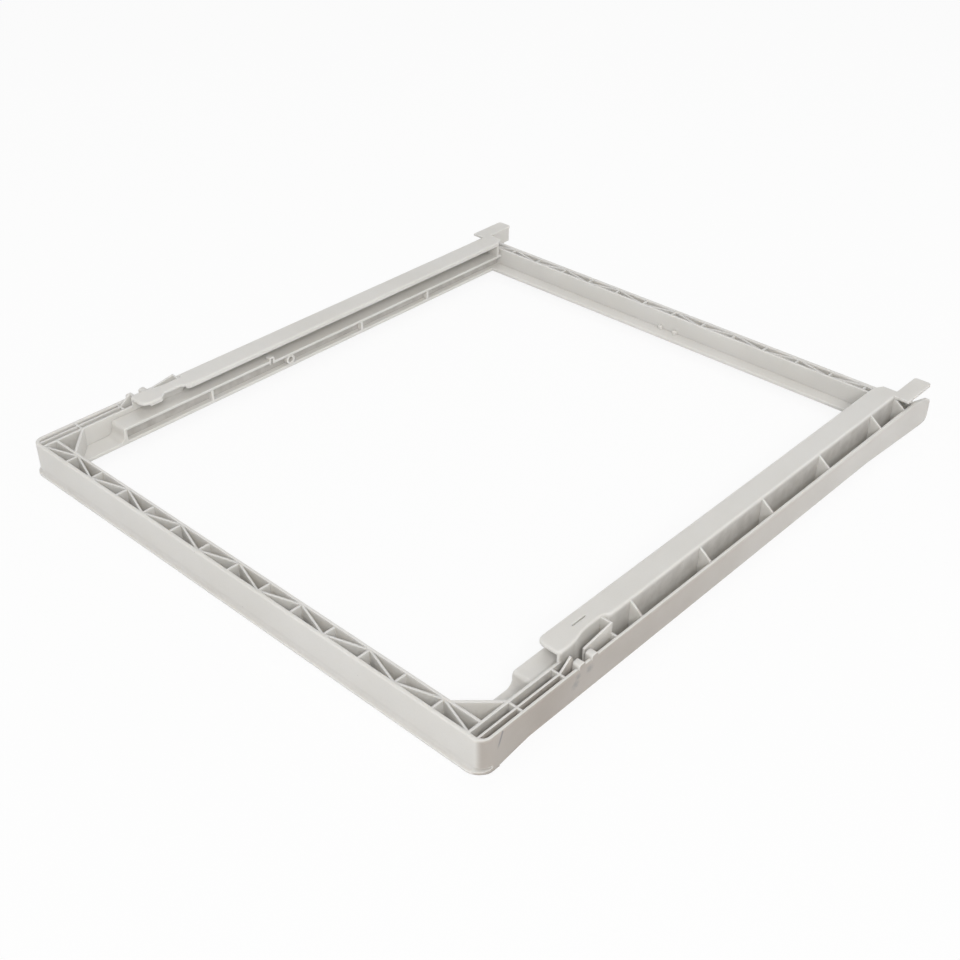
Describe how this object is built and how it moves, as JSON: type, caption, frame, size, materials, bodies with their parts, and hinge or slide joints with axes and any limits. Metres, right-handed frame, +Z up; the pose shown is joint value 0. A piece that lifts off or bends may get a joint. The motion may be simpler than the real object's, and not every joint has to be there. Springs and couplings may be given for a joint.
{
  "type": "refrigerator crisper cover frame with drawer rails",
  "caption": "Off-white moulded plastic cover frame of a refrigerator crisper drawer, lying upside down with its ribbed bars and drawer rails up.",
  "frame": {"origin": "middle of the footprint on the resting plane", "axes": "+X to the right across the drawer, +Y from the front trim to the back bar, +Z up as the part lies in the picture, rails up"},
  "size_m": [0.442, 0.509, 0.0333],
  "materials": {
    "plastic": "fine matte grain, off-white"
  },
  "bodies": {
    "root": {"crisper_frame": "plastic"}
  },
  "joints": []
}
